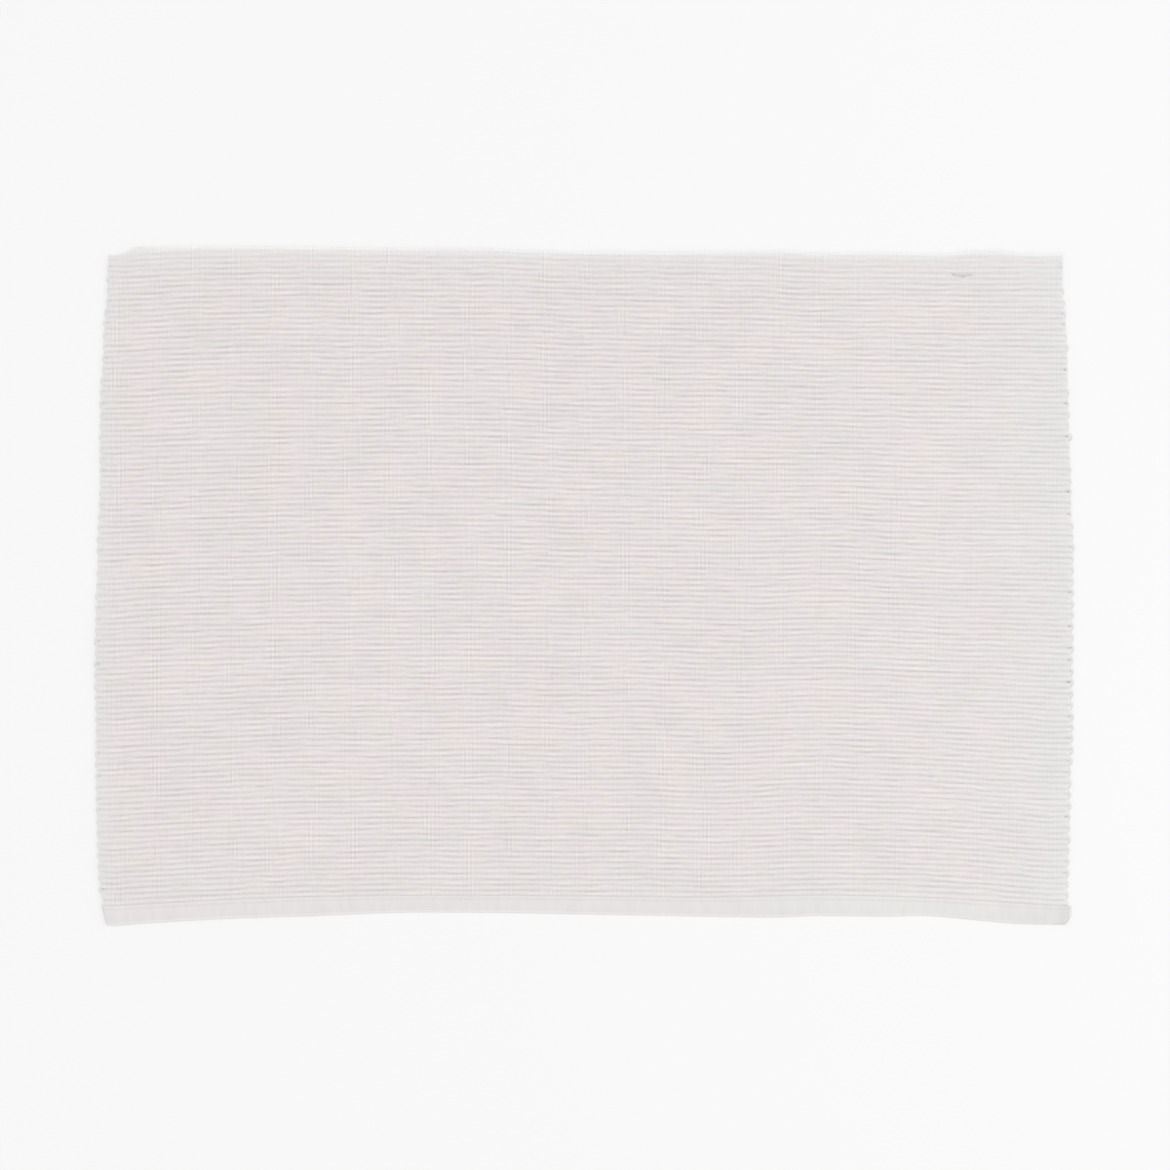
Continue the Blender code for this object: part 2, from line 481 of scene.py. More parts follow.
# Unbleached cotton yarn, soft and hairy: no gloss, a faint light rim, and a warm white that
# goes a little from rosy to grey. The bottoms of the grooves are darker, because less of the
# light gets out of them, and streaks along the cords are where the yarn is thick or thin.
ROSY_COTTON = "#E9E0E1"
GREY_COTTON = "#E3E0DE"
CREAM_COTTON = "#E8E2DA"
PALE_COTTON = "#E4E2E1"
# The colour that the painted highlights on the rims mix towards.
PAINTED_HIGHLIGHT_COTTON = "#F3F3F5"
COTTON_ROUGHNESS = 0.92
COTTON_SHEEN = 0.15
COTTON_SHEEN_ROUGHNESS = 0.5
# How dark a groove is and how light a crest, how far past halfway to the other each reaches,
# and how much of both is left on the plain rims.
GROOVE_SHADE = 0.03
CREST_LIGHT = 0.025
PAST_HALFWAY = 0.3
RIM_CONTRAST = 0.4
EYE_SHADE = 0.42
STREAKS = 0.03
BLOTCHES = 0.025
GRAIN = 0.07
GRAIN_SIZE = 0.7
# Patches of smooth noise: their length in millimetres, their width in ribs, how many finer
# layers each has, and how strong those are.
Patch = namedtuple("Patch", "length ribs detail roughness")
STREAK_PATCH = Patch(7.5, 0.8, 3.0, 0.6)
BLOTCH_PATCH = Patch(45.0, 9.0, 2.0, 0.5)
CONTRAST_PATCH = Patch(12.0, 1.7, 2.0, 0.5)
ROSY_PATCH = Patch(17.0, 6.3, 2.0, 0.5)
CREAM_PATCH = Patch(18.0, 6.5, 2.0, 0.5)
UNEVEN_PATCH = Patch(3.0, 1.5, 1.0, 0.5)
MARK_PATCH = Patch(8.5, 16.0, 3.0, 0.9)
# The levels of the noise at which three of these patches start and are full, and what the
# first of them then does to the contrast of the ribs and the last to the cream colour.
CONTRAST_START, CONTRAST_FULL = 0.3, 0.7
LEAST_CONTRAST, MOST_CONTRAST = -1.6, 3.6
ROSY_START, ROSY_FULL = 0.28, 0.72
CREAM_START, CREAM_FULL = 0.55, 0.8
MOST_CREAM = 0.65
# The warp has about 20 threads to the centimetre, which the picture can't show one by one,
# so its relief is drawn at half that.
WARP_PITCH = 1.0
WARP_RELIEF = 0.05
WARP_RELIEF_SHARE = 0.6
# Every 19 mm the reed has left a band where the threads of the warp show, a few of them for a few
# ribs at a time, and drawn here as one wave for every four threads: a faint relief, with painted
# light along the raised threads and painted shade in the gaps between them. They are fainter
# towards the right.
BAND_PITCH = 19.1
BAND_START = -228.7
BAND_SHARPNESS = 1.8
MARK_PITCH = 1.959
THREAD_LIGHT_AND_SHADE = 0.5
FAINTER_FROM, FAINTER_TO, FAINTER = 40.0, 230.0, 0.4


def finish_cotton(shader):
    """What all the cotton here shares: no gloss, and the faint light rim of its hairs."""
    shader.inputs["Roughness"].default_value = COTTON_ROUGHNESS
    shader.inputs["Sheen Weight"].default_value = COTTON_SHEEN
    shader.inputs["Sheen Roughness"].default_value = COTTON_SHEEN_ROUGHNESS


def ribbed_cotton():
    material, tree, shader = start_material("ribbed_cotton")
    weave = add_node(tree, "Attribute", (), attribute_name="weave").outputs["Vector"]
    along, rib, plainness = add_node(tree, "SeparateXYZ", (weave,)).outputs
    ribbed = add_node(tree, "MapRange", {
        "Value": plainness, "To Min": 1.0, "To Max": RIM_CONTRAST,
    })

    # The patches stretch along the ribs. Only the marks start and end with whole ribs.
    whole_rib = add_node(tree, "Math", (rib,), operation="FLOOR")
    by_rib = add_node(tree, "CombineXYZ", (along, whole_rib))
    patches = []
    for patch in (
        STREAK_PATCH, BLOTCH_PATCH, CONTRAST_PATCH, ROSY_PATCH, CREAM_PATCH, UNEVEN_PATCH,
        MARK_PATCH,
    ):
        scale = (1.0 / patch.length, 1.0 / patch.ribs, 0.0)
        start = by_rib if patch is MARK_PATCH else weave
        place = add_node(tree, "Mapping", {"Vector": start, "Scale": scale})
        patches.append(add_node(tree, "TexNoise", {
            "Vector": place, "Scale": 1.0, "Detail": patch.detail, "Roughness": patch.roughness,
        }))
    streaks, blotches, contrast, rosy, cream, uneven, marked = patches

    # The shade in the grooves and the light on the crests, which both vary along the ribs.
    angle = add_node(tree, "Math", (rib, math.tau), operation="MULTIPLY")
    wave = add_node(tree, "Math", (angle,), operation="COSINE")
    groove = add_node(tree, "MapRange", {
        "Value": wave, "From Min": -PAST_HALFWAY, "From Max": 1.0,
    })
    crest = add_node(tree, "MapRange", {
        "Value": wave, "From Min": PAST_HALFWAY, "From Max": -1.0,
    })
    contrast = add_node(tree, "MapRange", {
        "Value": contrast, "From Min": CONTRAST_START, "From Max": CONTRAST_FULL,
        "To Min": LEAST_CONTRAST, "To Max": MOST_CONTRAST,
    })
    for share in (contrast, ribbed):
        groove = add_node(tree, "Math", (groove, share), operation="MULTIPLY")
        crest = add_node(tree, "Math", (crest, share), operation="MULTIPLY")

    # The warp threads, each with a dip between it and the next, clearer in some places.
    angle = add_node(tree, "Math", (along, math.tau / WARP_PITCH), operation="MULTIPLY")
    warp = add_node(tree, "Math", (angle,), operation="SINE")
    uneven = add_node(tree, "Math", (uneven, 0.5), operation="SUBTRACT")
    warp = add_node(tree, "Math", (warp, uneven), operation="MULTIPLY")

    # The threads that show, for a few ribs at a time, and only in the reed's bands: their relief,
    # and the painted light and shade along them.
    angle = add_node(tree, "Math", (along, math.tau / MARK_PITCH), operation="MULTIPLY")
    threads = add_node(tree, "Math", (angle,), operation="SINE")
    from_band = add_node(tree, "Math", (along, -BAND_START), operation="ADD")
    angle = add_node(tree, "Math", (from_band, math.pi / BAND_PITCH), operation="MULTIPLY")
    band = add_node(tree, "Math", (angle,), operation="COSINE")
    band = add_node(tree, "Math", (band,), operation="ABSOLUTE")
    band = add_node(tree, "Math", (band, BAND_SHARPNESS), operation="POWER")
    marked = add_node(tree, "Math", (marked, 0.5), operation="SUBTRACT")
    fainter = add_node(tree, "MapRange", {
        "Value": along, "From Min": FAINTER_FROM, "From Max": FAINTER_TO,
        "To Min": 1.0, "To Max": FAINTER,
    })
    mark = threads
    for share in (band, marked, fainter):
        mark = add_node(tree, "Math", (mark, share), operation="MULTIPLY")

    place = add_node(tree, "TexCoord", ()).outputs["Object"]
    grain = add_node(tree, "TexNoise", {
        "Vector": place, "Scale": 1.0 / (GRAIN_SIZE * MM), "Detail": 2.0,
    })
    level = 1.0 - STREAKS - BLOTCHES - GRAIN
    for pattern, amount in (
        (streaks, 2.0 * STREAKS), (blotches, 2.0 * BLOTCHES), (grain, 2.0 * GRAIN),
        (groove, -GROOVE_SHADE), (crest, CREST_LIGHT), (mark, THREAD_LIGHT_AND_SHADE),
    ):
        level = add_node(tree, "Math", (pattern, amount, level), operation="MULTIPLY_ADD")

    # The painted highlights on the rims, and the painted shade in the eyes of the weft loops.
    tone = add_node(tree, "Attribute", (), attribute_name="tone").outputs["Fac"]
    painted_highlight = add_node(tree, "Clamp", (tone,))
    eye = add_node(tree, "MapRange", {"Value": tone, "From Max": -1.0, "To Max": -EYE_SHADE})
    level = add_node(tree, "Math", (level, eye), operation="ADD")

    rosy = add_node(tree, "MapRange", {
        "Value": rosy, "From Min": ROSY_START, "From Max": ROSY_FULL,
    })
    cream = add_node(tree, "MapRange", {
        "Value": cream, "From Min": CREAM_START, "From Max": CREAM_FULL, "To Max": MOST_CREAM,
    })
    colour = linear(GREY_COTTON)
    for share, other in (
        (rosy, ROSY_COTTON), (cream, CREAM_COTTON), (plainness, PALE_COTTON), (painted_highlight, PAINTED_HIGHLIGHT_COTTON),
    ):
        mix = add_node(tree, "Mix", {0: share, 6: colour, 7: linear(other)}, data_type="RGBA")
        colour = mix.outputs[2]
    colour = add_node(tree, "HueSaturation", {"Color": colour, "Value": level})
    tree.links.new(colour.outputs[0], shader.inputs["Base Color"])

    relief = add_node(tree, "Math", (mark, 1.0, warp), operation="MULTIPLY_ADD")
    bump = add_node(tree, "Bump", {
        "Height": relief, "Strength": WARP_RELIEF_SHARE, "Distance": WARP_RELIEF * MM,
    })
    tree.links.new(bump.outputs[0], shader.inputs["Normal"])
    finish_cotton(shader)
    return material


ribbed_cloth = finish_piece("ribbed_cloth", weave_cloth(), ribbed_cotton())
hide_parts("placemat")


# ---- The weft loops ------------------------------------------------------------------
# At each short side the bare weft cord comes out of one rib, turns and goes back in as the
# next, which closes the weave without a hem. The loops are slack and no two are alike.

# Each side: which groove its first loop turns round, its share of the way to the right, which
# way it looks, the cord's radius, how far the tips lie beyond the selvedge line, how far each
# loop reaches from its middle, and how much that varies.
LoopSide = namedtuple("LoopSide", "name first share outwards cord tip reach uneven")
LOOP_SIDES = (
    LoopSide("weft_loops_left", 2, 0.0, -1.0, 0.55, -0.1, 2.1, 0.3),
    LoopSide("weft_loops_right", 1, 1.0, 1.0, 0.72, 0.75, 2.2, 0.4),
)
CORD_SIDES = 10
UNEVEN_CORD = 0.1
LOOP_STEPS = 10
LOOP_ARM = 2.5
LOOP_TILT = 0.12
LOOP_HEIGHT = 0.95
UNEVEN_LOOP_HEIGHT = 0.1
# One loop on the right has been pulled out, and towards the back they all lie tighter.
BIG_LOOP_DEPTH = 71.0
BIG_LOOP = 1.7
TIGHTER_LOOPS = 0.35


def turn_loop(shape, radius, reach, half_gap):
    """One loop of cord, open towards -X: a ring swept round half a turn, with two arms."""
    others = set(shape.verts)
    turned = Matrix.Rotation(math.pi / 2, 4, "Y")
    at_start = Matrix.Translation((0.0, -half_gap, 0.0)) @ turned
    ring = bmesh.ops.create_circle(
        shape, segments=CORD_SIDES, radius=radius, matrix=at_start
    )["verts"]
    edges = list({edge for vertex in ring for edge in vertex.link_edges})
    bmesh.ops.spin(
        shape, geom=ring + edges, cent=(0, 0, 0), axis=(0, 0, 1), angle=math.pi, steps=LOOP_STEPS
    )
    turn = [vertex for vertex in shape.verts if vertex not in others]
    bmesh.ops.scale(shape, vec=(reach / (half_gap + radius), 1, 1), verts=turn)
    ends = list({edge for vertex in turn for edge in vertex.link_edges if edge.is_boundary})
    arms = bmesh.ops.extrude_edge_only(shape, edges=ends)["geom"]
    arm_ends = [item for item in arms if isinstance(item, bmesh.types.BMVert)]
    bmesh.ops.translate(shape, verts=arm_ends, vec=(-LOOP_ARM, 0, 0))
    rims = [item for item in arms if isinstance(item, bmesh.types.BMEdge) and item.is_boundary]
    bmesh.ops.edgeloop_fill(shape, edges=rims)
    return turn + arm_ends


def loop_the_weft(side):
    draw = random.Random(side.name)
    column = column_at(side.share)
    edge_line = left_edge if side.outwards < 0 else right_edge
    shape = bmesh.new()
    for place in range(side.first, RIBS - 1, 2):
        before, _ = lay_rib_line(place - 0.5, column)
        after, _ = lay_rib_line(place + 0.5, column)
        depth = (before + after) / 2
        radius = side.cord * (1.0 + UNEVEN_CORD * draw.uniform(-1.0, 1.0))
        reach = side.reach + side.uneven * draw.uniform(-1.0, 1.0)
        if side.outwards > 0:
            reach -= TIGHTER_LOOPS * ramp(depth, TIGHTER_FROM, TIGHTER_TO)
            if abs(depth - BIG_LOOP_DEPTH) < RIB_PITCH:
                reach += BIG_LOOP
        verts = turn_loop(shape, radius, reach, (before - after) / 2)
        if side.outwards < 0:
            bmesh.ops.scale(shape, vec=(-1, 1, 1), verts=verts)
        tilt = Matrix.Rotation(draw.uniform(-LOOP_TILT, LOOP_TILT), 3, "Z")
        bmesh.ops.rotate(shape, cent=(0, 0, 0), matrix=tilt, verts=verts)
        root = edge_line(depth) + side.outwards * (side.tip - side.reach)
        height = LOOP_HEIGHT + UNEVEN_LOOP_HEIGHT * draw.uniform(-1.0, 1.0) + lift_at(root, depth)
        bmesh.ops.translate(shape, vec=(root, depth, height), verts=verts)
    bmesh.ops.recalc_face_normals(shape, faces=shape.faces[:])
    return shape


# The cord itself, plied from soft cotton yarn: matt, a little lighter where its fibres catch
# the light, with a slanting twist of plies 0.6 mm apart. A wave texture has about three waves
# in each unit of its scale.
PLY_PITCH = 0.6
WAVES_TO_A_UNIT = 3.1
PLY_SLANT = (0.6, 0.3, 0.8)
PLY_DISTORTION = 1.5
PLY_RELIEF = 0.08
PLY_RELIEF_SHARE = 0.5
FIBRE_SIZE = 0.8
FIBRE_LIGHT = 0.1


def plied_cotton_cord():
    material, tree, shader = start_material("plied_cotton_cord")
    place = add_node(tree, "TexCoord", ()).outputs["Object"]
    slanted = add_node(tree, "Mapping", {"Vector": place, "Rotation": PLY_SLANT})
    plies = add_node(tree, "TexWave", {
        "Vector": slanted, "Scale": 1 / (WAVES_TO_A_UNIT * PLY_PITCH * MM),
        "Distortion": PLY_DISTORTION,
    })
    fibres = add_node(tree, "TexNoise", {"Vector": place, "Scale": 1 / (FIBRE_SIZE * MM)})
    value = add_node(tree, "MapRange", {
        "Value": fibres, "To Min": 1.0, "To Max": 1.0 + FIBRE_LIGHT,
    })
    colour = add_node(tree, "HueSaturation", {"Color": linear(GREY_COTTON), "Value": value})
    tree.links.new(colour.outputs[0], shader.inputs["Base Color"])
    bump = add_node(tree, "Bump", {
        "Height": plies, "Strength": PLY_RELIEF_SHARE, "Distance": PLY_RELIEF * MM,
    })
    tree.links.new(bump.outputs[0], shader.inputs["Normal"])
    finish_cotton(shader)
    return material


cord = plied_cotton_cord()
weft_loops = [finish_piece(side.name, loop_the_weft(side), cord) for side in LOOP_SIDES]


# ---- The front hem -------------------------------------------------------------------
# The cloth ends in a plain woven heading without cords. It is folded round the front edge
# from below and laid on the face, with its own raw edge turned in, as a smooth flat band.

HEM_LAYER = 0.38
FRONT_HEM_COLUMNS = 320
INNER_FOLD_PAST_GROOVE = 0.2
# The folded band in section, from the edge under the mat round to the one turned in on top:
# the share of the hem's width from the front edge, and the height of the layer's middle.
# The first points are the layer under the mat. A little short of the inner fold the seam
# pulls the band down.
FoldPoint = namedtuple("FoldPoint", "share height")
FRONT_HEM_FOLD = (
    FoldPoint(0.93, 0.21), FoldPoint(0.7, 0.21), FoldPoint(0.4, 0.21), FoldPoint(0.14, 0.22),
    FoldPoint(0.05, 0.26), FoldPoint(0.025, 0.42), FoldPoint(0.018, 0.66), FoldPoint(0.026, 0.9),
    FoldPoint(0.05, 1.12), FoldPoint(0.09, 1.3), FoldPoint(0.15, 1.42), FoldPoint(0.25, 1.5),
    FoldPoint(0.4, 1.56), FoldPoint(0.6, 1.6), FoldPoint(0.7, 1.59), FoldPoint(0.74, 1.54),
    FoldPoint(0.77, 1.47), FoldPoint(0.8, 1.54), FoldPoint(0.86, 1.67), FoldPoint(0.93, 1.68),
    FoldPoint(0.997, 1.48), FoldPoint(0.99, 1.32), FoldPoint(0.93, 1.26), FoldPoint(0.8, 1.22),
)
UNDER_LAYER_POINTS = 7
# How the soft band puckers: by what share of its height, over what length along it, how
# quickly that changes across it, and its lane of the noise.
Pucker = namedtuple("Pucker", "amount length across lane")
PUCKERS = (Pucker(0.08, 9.0, 1.5, 11.0), Pucker(0.1, 30.0, 1.0, 13.0))
# Where the band ends at the left and at the right, from the front edge inwards. At the right
# the under layer comes out a little further than the upper one.
HemEnds = namedtuple("HemEnds", "depth left right")
HEM_ENDS = (
    HemEnds(-166.2, -233.6, 235.2),
    HemEnds(-165.0, -234.2, 236.2),
    HemEnds(-163.5, -234.6, 237.8),
    HemEnds(-161.8, -234.8, 239.0),
    HemEnds(-158.0, -235.8, 239.2),
    HemEnds(-156.4, -236.0, 238.8),
    HemEnds(-155.6, -236.1, 237.6),
    HemEnds(-154.0, -236.2, 237.2),
)
UPPER_END_AT_RIGHT = 237.4
HEM_END_INSETS = (0.0, 0.15, 0.4, 0.8, 1.3, 2.2)
HEM_END_ROUNDING = 1.0
HEM_END_HEIGHT = 0.75
# Where the band is paler, up to 1: a painted highlight along its rounded front edge, a painted
# glow at its very tip, and a paler stretch at the right. And where it is darker, down to -1:
# painted shade in the seam's dip, and at its right end.
FRONT_RIM_HIGHLIGHT = 1.0
FRONT_RIM_WIDTH = 1.3
TIP_GLOW = 0.39
TIP_SOFTNESS = 0.3
PALE_STRETCH_TONE = 0.07
PALE_STRETCH_FROM, PALE_STRETCH_FULL = 90.0, 140.0
PALE_STRETCH_FADES, PALE_STRETCH_TO = 188.0, 218.0
SEAM_SHARE = 0.77
SEAM_SHADE = 0.25
SEAM_REACH = 0.06
GREYING = 0.35
GREYING_FROM = 200.0
GREY_END_FROM, GREY_END_TO = 231.5, 233.5
hem_left = smooth(HEM_ENDS, "left")
hem_right = smooth(HEM_ENDS, "right")


def hem_width_at(column):
    """From the front edge to just past the last groove, which the band's inner fold covers."""
    return groove_depth(RIBS, column) + INNER_FOLD_PAST_GROOVE - column.front


def pucker_at(along, share):
    """How much thicker or thinner the soft band is there, as a share."""
    return sum(
        pucker.amount * swing(along / pucker.length, share * pucker.across, pucker.lane)
        for pucker in PUCKERS
    )


def hem_light_and_tone_at(along, share, from_edge):
    """Painted highlight and painted shade, and where the band is paler or darker, at a place along
    the band, a share of its width and a way in from its front edge."""
    in_tip = ramp(along, UPPER_END_AT_RIGHT - TIP_SOFTNESS, UPPER_END_AT_RIGHT + TIP_SOFTNESS)
    greyed = GREYING * ramp(along, GREYING_FROM, GREY_END_FROM)
    greyed += (1.0 - GREYING) * ramp(along, GREY_END_FROM, GREY_END_TO)
    rim = FRONT_RIM_HIGHLIGHT * (1.0 - ramp(from_edge, 0.0, FRONT_RIM_WIDTH))
    stretch = PALE_STRETCH_TONE * ramp(along, PALE_STRETCH_FROM, PALE_STRETCH_FULL)
    stretch *= 1.0 - ramp(along, PALE_STRETCH_FADES, PALE_STRETCH_TO)
    seam = SEAM_SHADE * (1.0 - ramp(abs(share - SEAM_SHARE), 0.0, SEAM_REACH))
    return TIP_GLOW * in_tip - greyed * (1.0 - in_tip) - seam + max(rim, stretch)


def fold_front_hem():
    shares = spread_columns(HEM_END_INSETS, FRONT_HEM_COLUMNS)
    band = bmesh.new()
    bmesh.ops.create_grid(
        band, x_segments=len(shares) - 1, y_segments=len(FRONT_HEM_FOLD) - 1, size=0.5
    )
    tone = band.verts.layers.float.new("tone")
    for vertex in band.verts:
        column = column_at(shares[round((vertex.co.x + 0.5) * (len(shares) - 1))])
        number = round((vertex.co.y + 0.5) * (len(FRONT_HEM_FOLD) - 1))
        point = FRONT_HEM_FOLD[number]
        depth = column.front + hem_width_at(column) * point.share
        left, right = hem_left(depth), hem_right(depth)
        if number >= UNDER_LAYER_POINTS:
            right = min(right, UPPER_END_AT_RIGHT)
        along = left + (right - left) * column.share
        height = point.height * (1.0 + pucker_at(along, point.share))
        if number >= UNDER_LAYER_POINTS:
            rounding = round_over(min(along - left, right - along), HEM_END_ROUNDING)
            height = min(height, HEM_END_HEIGHT) + max(height - HEM_END_HEIGHT, 0.0) * rounding
        vertex.co = (along, depth, height + lift_at(along, depth))
        vertex[tone] = hem_light_and_tone_at(along, point.share, depth - column.front)
    bmesh.ops.recalc_face_normals(band, faces=band.faces[:])
    return band


# Plain weave of the same cotton without the cords, so smooth that only a fine grain and faint
# long clouds show. It is woven at about 24 threads to the centimetre and drawn at half that.
# It is less rosy to the right. The right end of the front hem is darker, its seam has painted
# shade and its front edge a painted highlight, and the single layer at its very tip has a painted
# glow, as from the white table showing through it.
PLAIN_COTTON = "#E5E2E1"
WHITER_COTTON = "#E5E3E1"
WHITER_FROM, WHITER_TO = 40.0, 150.0
HEM_THREAD_PITCH = 0.8
HEM_RELIEF = 0.03
HEM_RELIEF_SHARE = 0.4
CLOUDS = 0.05
CLOUD_WIDTH, CLOUD_LENGTH = 3.0, 10.0
SHADE_AND_DARKER = 0.055
HIGHLIGHT_AND_PALER = 0.255


def plain_cotton():
    material, tree, shader = start_material("plain_woven_cotton")
    place = add_node(tree, "TexCoord", ()).outputs["Object"]
    along, across, _ = add_node(tree, "SeparateXYZ", (place,)).outputs
    angle_to_the_metre = math.tau / (HEM_THREAD_PITCH * MM)
    waves = []
    for line in (along, across):
        angle = add_node(tree, "Math", (line, angle_to_the_metre), operation="MULTIPLY")
        waves.append(add_node(tree, "Math", (angle,), operation="SINE"))
    threads = add_node(tree, "Math", waves, operation="MULTIPLY")
    stretched = add_node(tree, "Mapping", {
        "Vector": place, "Scale": (1.0, CLOUD_WIDTH / CLOUD_LENGTH, 1.0),
    })
    cloud = add_node(tree, "TexNoise", {
        "Vector": stretched, "Scale": 1.0 / (CLOUD_WIDTH * MM), "Detail": 3.0,
    })
    tone = add_node(tree, "Attribute", (), attribute_name="tone").outputs["Fac"]
    shade_and_darker = add_node(tree, "MapRange", {"Value": tone, "From Max": -1.0, "To Max": -SHADE_AND_DARKER})
    highlight_and_paler = add_node(tree, "MapRange", {"Value": tone, "From Max": 1.0, "To Max": HIGHLIGHT_AND_PALER})
    value = add_node(tree, "MapRange", {
        "Value": cloud, "To Min": 1.0 - CLOUDS, "To Max": 1.0 + CLOUDS,
    })
    for change in (shade_and_darker, highlight_and_paler):
        value = add_node(tree, "Math", (value, change), operation="ADD")
    whiter = add_node(tree, "MapRange", {
        "Value": along, "From Min": WHITER_FROM * MM, "From Max": WHITER_TO * MM,
    })
    mix = {0: whiter, 6: linear(PLAIN_COTTON), 7: linear(WHITER_COTTON)}
    mix = add_node(tree, "Mix", mix, data_type="RGBA")
    colour = add_node(tree, "HueSaturation", {"Color": mix.outputs[2], "Value": value})
    tree.links.new(colour.outputs[0], shader.inputs["Base Color"])
    bump = add_node(tree, "Bump", {
        "Height": threads, "Strength": HEM_RELIEF_SHARE, "Distance": HEM_RELIEF * MM,
    })
    tree.links.new(bump.outputs[0], shader.inputs["Normal"])
    finish_cotton(shader)
    return material


def give_thickness(hem):
    layer = hem.modifiers.new("layer", "SOLIDIFY")
    layer.thickness = HEM_LAYER * MM
    layer.offset = 0.0


plain = plain_cotton()
front_hem = finish_piece("front_hem", fold_front_hem(), plain)
give_thickness(front_hem)


# ---- The hem stitches ----------------------------------------------------------------
# Both hems are sewn down with a running stitch of thin cotton thread, one row each. It sinks
# into the soft cloth: into the face of the front hem, and into the underside at the back.

STITCH_PITCH = 3.2
STITCH_LENGTH = 2.2
STITCH_SHORTEST, STITCH_LONGEST = 0.8, 1.1
STITCH_SLANT = 0.06
STITCH_WIDTH = 0.34
STITCH_DEPTH = 0.3
STITCH_ENDS = 3.0
FRONT_SEAM_HEIGHT = 1.64


def sew(seam_at):
    """A row of stitches from side to side. seam_at gives the depth and height of the seam."""
    draw = random.Random("stitches")
    row = bmesh.new()
    along = left_edge(0.0) + STITCH_ENDS
    while along < right_edge(0.0) - STITCH_ENDS:
        share = (along - left_edge(0.0)) / (right_edge(0.0) - left_edge(0.0))
        depth, height = seam_at(column_at(share))
        along += STITCH_PITCH
        if not left_edge(depth) + STITCH_ENDS < along < right_edge(depth) - STITCH_ENDS:
            continue
        length = STITCH_LENGTH * draw.uniform(STITCH_SHORTEST, STITCH_LONGEST)
        verts = bmesh.ops.create_uvsphere(row, u_segments=6, v_segments=4, radius=0.5)["verts"]
        bmesh.ops.scale(row, vec=(length, STITCH_WIDTH, STITCH_DEPTH), verts=verts)
        slant = Matrix.Rotation(draw.uniform(-STITCH_SLANT, STITCH_SLANT), 3, "Z")
        bmesh.ops.rotate(row, cent=(0, 0, 0), matrix=slant, verts=verts)
        bmesh.ops.translate(row, vec=(along, depth, height + lift_at(along, depth)), verts=verts)
    return row


def front_seam(column):
    """Where the seam lies on the front hem, and how high."""
    return column.front + hem_width_at(column) * SEAM_SHARE, FRONT_SEAM_HEIGHT


# Two-ply sewing thread of the same cotton. Its plies are too fine to draw, so it is a shade
# darker for the shadows between them.
THREAD_COTTON = "#E2DFDD"


def cotton_of_one_colour(name, code):
    material, _, shader = start_material(name)
    shader.inputs["Base Color"].default_value = linear(code)
    finish_cotton(shader)
    return material


thread = cotton_of_one_colour("cotton_sewing_thread", THREAD_COTTON)
front_hem_stitches = finish_piece("front_hem_stitches", sew(front_seam), thread)


# ---- The back hem --------------------------------------------------------------------
# Along the back the ribbed cloth itself rolls over the edge. Its plain heading is turned
# under there and lies flat beneath the ribs, so only the roll shows from above.

BACK_HEM_INSET = 0.7
BACK_HEM_SIDE_INSET = 2.0
BACK_HEM_COLUMNS = 160
# The heading in section, from the roll inwards: how far in, and the height of its middle.
HeadingPoint = namedtuple("HeadingPoint", "inset height")
HEADING = (
    HeadingPoint(0.0, 0.34), HeadingPoint(0.35, 0.24), HeadingPoint(1.2, 0.21),
    HeadingPoint(4.0, 0.21), HeadingPoint(8.0, 0.21), HeadingPoint(10.9, 0.23),
    HeadingPoint(11.4, 0.28),
)
BACK_SEAM_INSET = 11.2
BACK_SEAM_HEIGHT = 0.16


def fold_back_hem():
    band = bmesh.new()
    bmesh.ops.create_grid(
        band, x_segments=BACK_HEM_COLUMNS, y_segments=len(HEADING) - 1, size=0.5
    )
    for vertex in band.verts:
        column = column_at(vertex.co.x + 0.5)
        point = HEADING[round((vertex.co.y + 0.5) * (len(HEADING) - 1))]
        depth = column.back - BACK_HEM_INSET - point.inset
        left = left_edge(depth) + BACK_HEM_SIDE_INSET
        right = right_edge(depth) - BACK_HEM_SIDE_INSET
        along = left + (right - left) * column.share
        vertex.co = (along, depth, point.height + lift_at(along, depth))
    bmesh.ops.recalc_face_normals(band, faces=band.faces[:])
    return band


def back_seam(column):
    """Where the seam lies under the back hem, and how high."""
    return column.back - BACK_SEAM_INSET, BACK_SEAM_HEIGHT


back_hem = finish_piece("back_hem", fold_back_hem(), plain)
give_thickness(back_hem)
back_hem_stitches = finish_piece("back_hem_stitches", sew(back_seam), thread)


# ---- The slub ------------------------------------------------------------------------
# Near the right end of the back, a thick place in the yarn has come out of the weave: four
# short strands of darker, unspun fibre lie on the ribs like a twig, with a fork at each end.

Strand = namedtuple("Strand", "start end width")
SLUB_STRANDS = (
    Strand((180.4, 153.2), (182.4, 152.1), 0.5),
    Strand((181.8, 152.1), (187.4, 152.2), 0.6),
    Strand((185.0, 151.2), (187.0, 152.1), 0.55),
    Strand((186.6, 152.3), (190.6, 152.7), 0.3),
)
SLUB_HEIGHT = 2.05
# Raw cotton with bits of leaf in it, greyer and darker than the spun yarn.
RAW_COTTON = "#CDC9C6"


def lay_slub():
    tuft = bmesh.new()
    for strand in SLUB_STRANDS:
        start, end = Vector(strand.start), Vector(strand.end)
        run, middle = end - start, (start + end) / 2.0
        verts = bmesh.ops.create_uvsphere(tuft, u_segments=16, v_segments=10, radius=0.5)["verts"]
        bmesh.ops.scale(tuft, vec=(run.length, strand.width, strand.width), verts=verts)
        turn = Matrix.Rotation(math.atan2(run.y, run.x), 3, "Z")
        bmesh.ops.rotate(tuft, cent=(0, 0, 0), matrix=turn, verts=verts)
        height = SLUB_HEIGHT + lift_at(*middle)
        bmesh.ops.translate(tuft, vec=(middle.x, middle.y, height), verts=verts)
    return tuft


slub = finish_piece("slub", lay_slub(), cotton_of_one_colour("raw_cotton_fibre", RAW_COTTON))


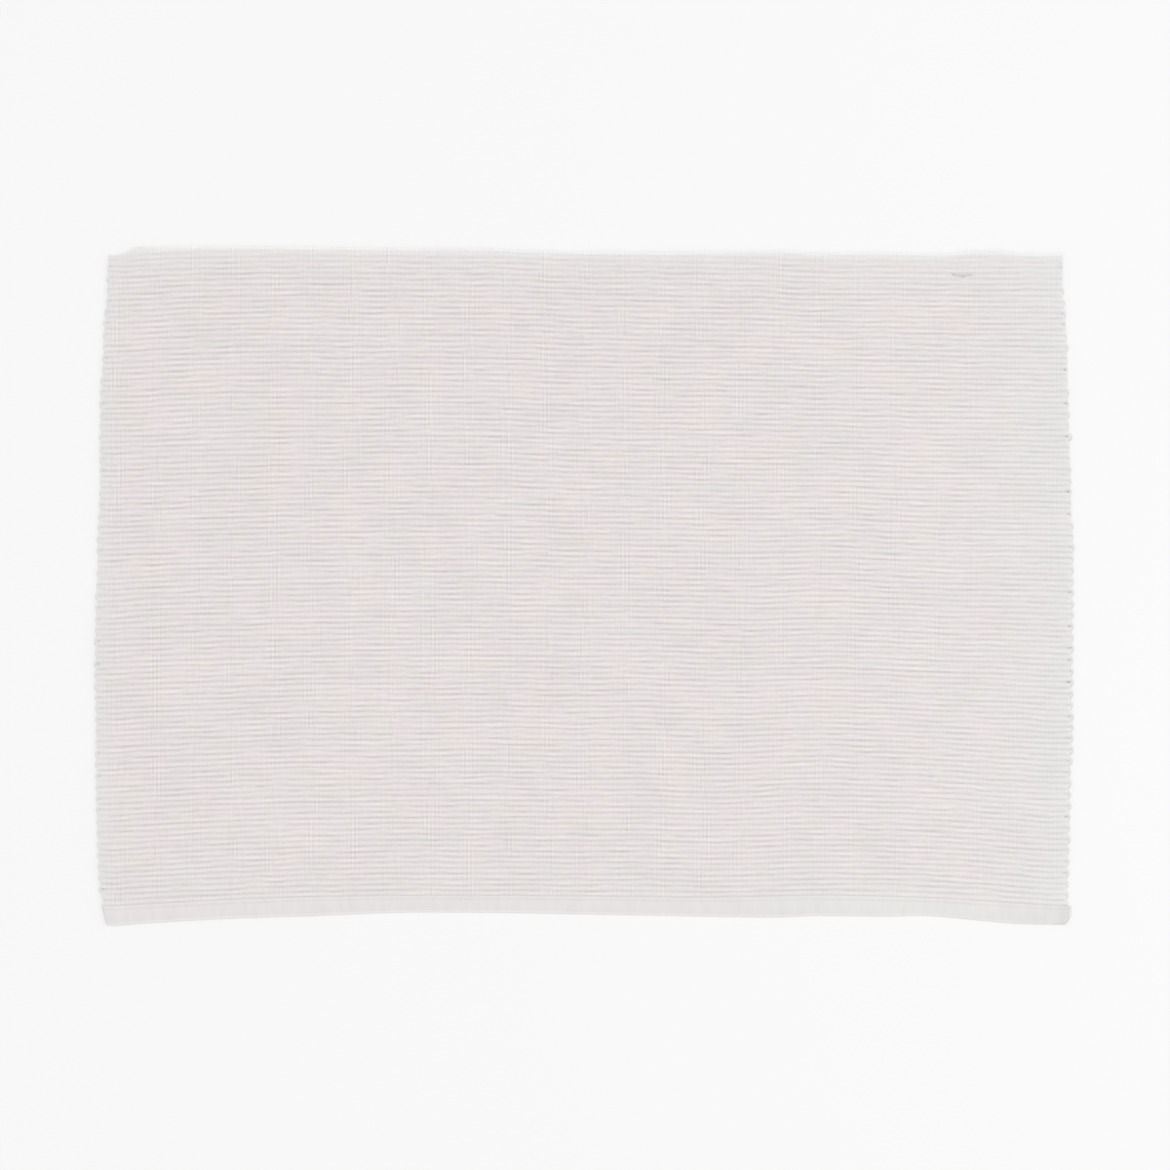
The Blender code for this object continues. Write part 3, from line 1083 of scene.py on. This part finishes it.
# ---- The table, the light and the camera ---------------------------------------------
# The mat lies on a plain white table under soft, even daylight, a little stronger from the
# back and from the right. The camera hangs straight above it.

# A matt white board, with clouds so faint that they only keep it from looking flat. Its size
# and the window's are in metres, and it lies a hair below the mat.
TABLE_WHITE = "#F8F8F8"
TABLE_SIZE = 30.0
TABLE_GAP = 0.05
TABLE_CLOUDS = 0.005
CLOUDS_TO_THE_METRE = 4.0
ROOM_LIGHT = 0.742
CEILING_LIGHT = 0.8
CEILING_LIGHT_SPREAD = math.radians(40.0)
CEILING_LIGHT_FROM_BACK = math.radians(22.0)
WINDOW_LIGHT = 0.8
WINDOW_SIZE = 0.5
WINDOW_PLACE = (1.0, -0.05, 0.9)
# How much of the table's width the picture takes in, and where its middle lies.
FRAME_WIDTH = 573.1
CAMERA_RIGHT = 0.54
CAMERA_BACK = 0.73
LENS = 85.0
SENSOR = 36.0


def matt_white_board():
    material, tree, shader = start_material("matt_white_board")
    place = add_node(tree, "TexCoord", ()).outputs["Object"]
    cloud = add_node(tree, "TexNoise", {"Vector": place, "Scale": CLOUDS_TO_THE_METRE})
    value = add_node(tree, "MapRange", {
        "Value": cloud, "To Min": 1.0 - TABLE_CLOUDS, "To Max": 1.0 + TABLE_CLOUDS,
    })
    colour = add_node(tree, "HueSaturation", {"Color": linear(TABLE_WHITE), "Value": value})
    tree.links.new(colour.outputs[0], shader.inputs["Base Color"])
    shader.inputs["Roughness"].default_value = 1.0
    shader.inputs["Specular IOR Level"].default_value = 0.0
    return material


table_shape = bmesh.new()
bmesh.ops.create_grid(table_shape, x_segments=1, y_segments=1, size=TABLE_SIZE / 2)
bmesh.ops.translate(table_shape, verts=table_shape.verts[:], vec=(0, 0, -TABLE_GAP * MM))
table_top = put_in_scene("table_top", table_shape, matt_white_board())

world = bpy.data.worlds.new("daylight")
world.use_nodes = True
world.node_tree.nodes["Background"].inputs["Color"].default_value = (1.0, 1.0, 1.0, 1.0)
world.node_tree.nodes["Background"].inputs["Strength"].default_value = ROOM_LIGHT
bpy.context.scene.world = world
bpy.context.scene.view_settings.view_transform = "Standard"

ceiling_light = bpy.data.lights.new("ceiling_light", "SUN")
ceiling_light.energy = CEILING_LIGHT
ceiling_light.angle = CEILING_LIGHT_SPREAD
ceiling_light_object = bpy.data.objects.new("ceiling_light", ceiling_light)
ceiling_light_object.rotation_euler = (-CEILING_LIGHT_FROM_BACK, 0.0, 0.0)
bpy.context.scene.collection.objects.link(ceiling_light_object)

window = bpy.data.lights.new("window", "AREA")
window.shape = "DISK"
window.size = WINDOW_SIZE
window.energy = WINDOW_LIGHT
window_object = bpy.data.objects.new("window", window)
window_object.location = WINDOW_PLACE
window_object.rotation_euler = (-window_object.location).to_track_quat("-Z", "Y").to_euler()
bpy.context.scene.collection.objects.link(window_object)

camera_data = bpy.data.cameras.new("camera")
camera_data.lens = LENS
camera_data.sensor_width = SENSOR
camera = bpy.data.objects.new("camera", camera_data)
camera_height = FRAME_WIDTH * LENS / SENSOR + CREST_HEIGHT
camera.location = (CAMERA_RIGHT * MM, CAMERA_BACK * MM, camera_height * MM)
bpy.context.scene.collection.objects.link(camera)
bpy.context.scene.camera = camera
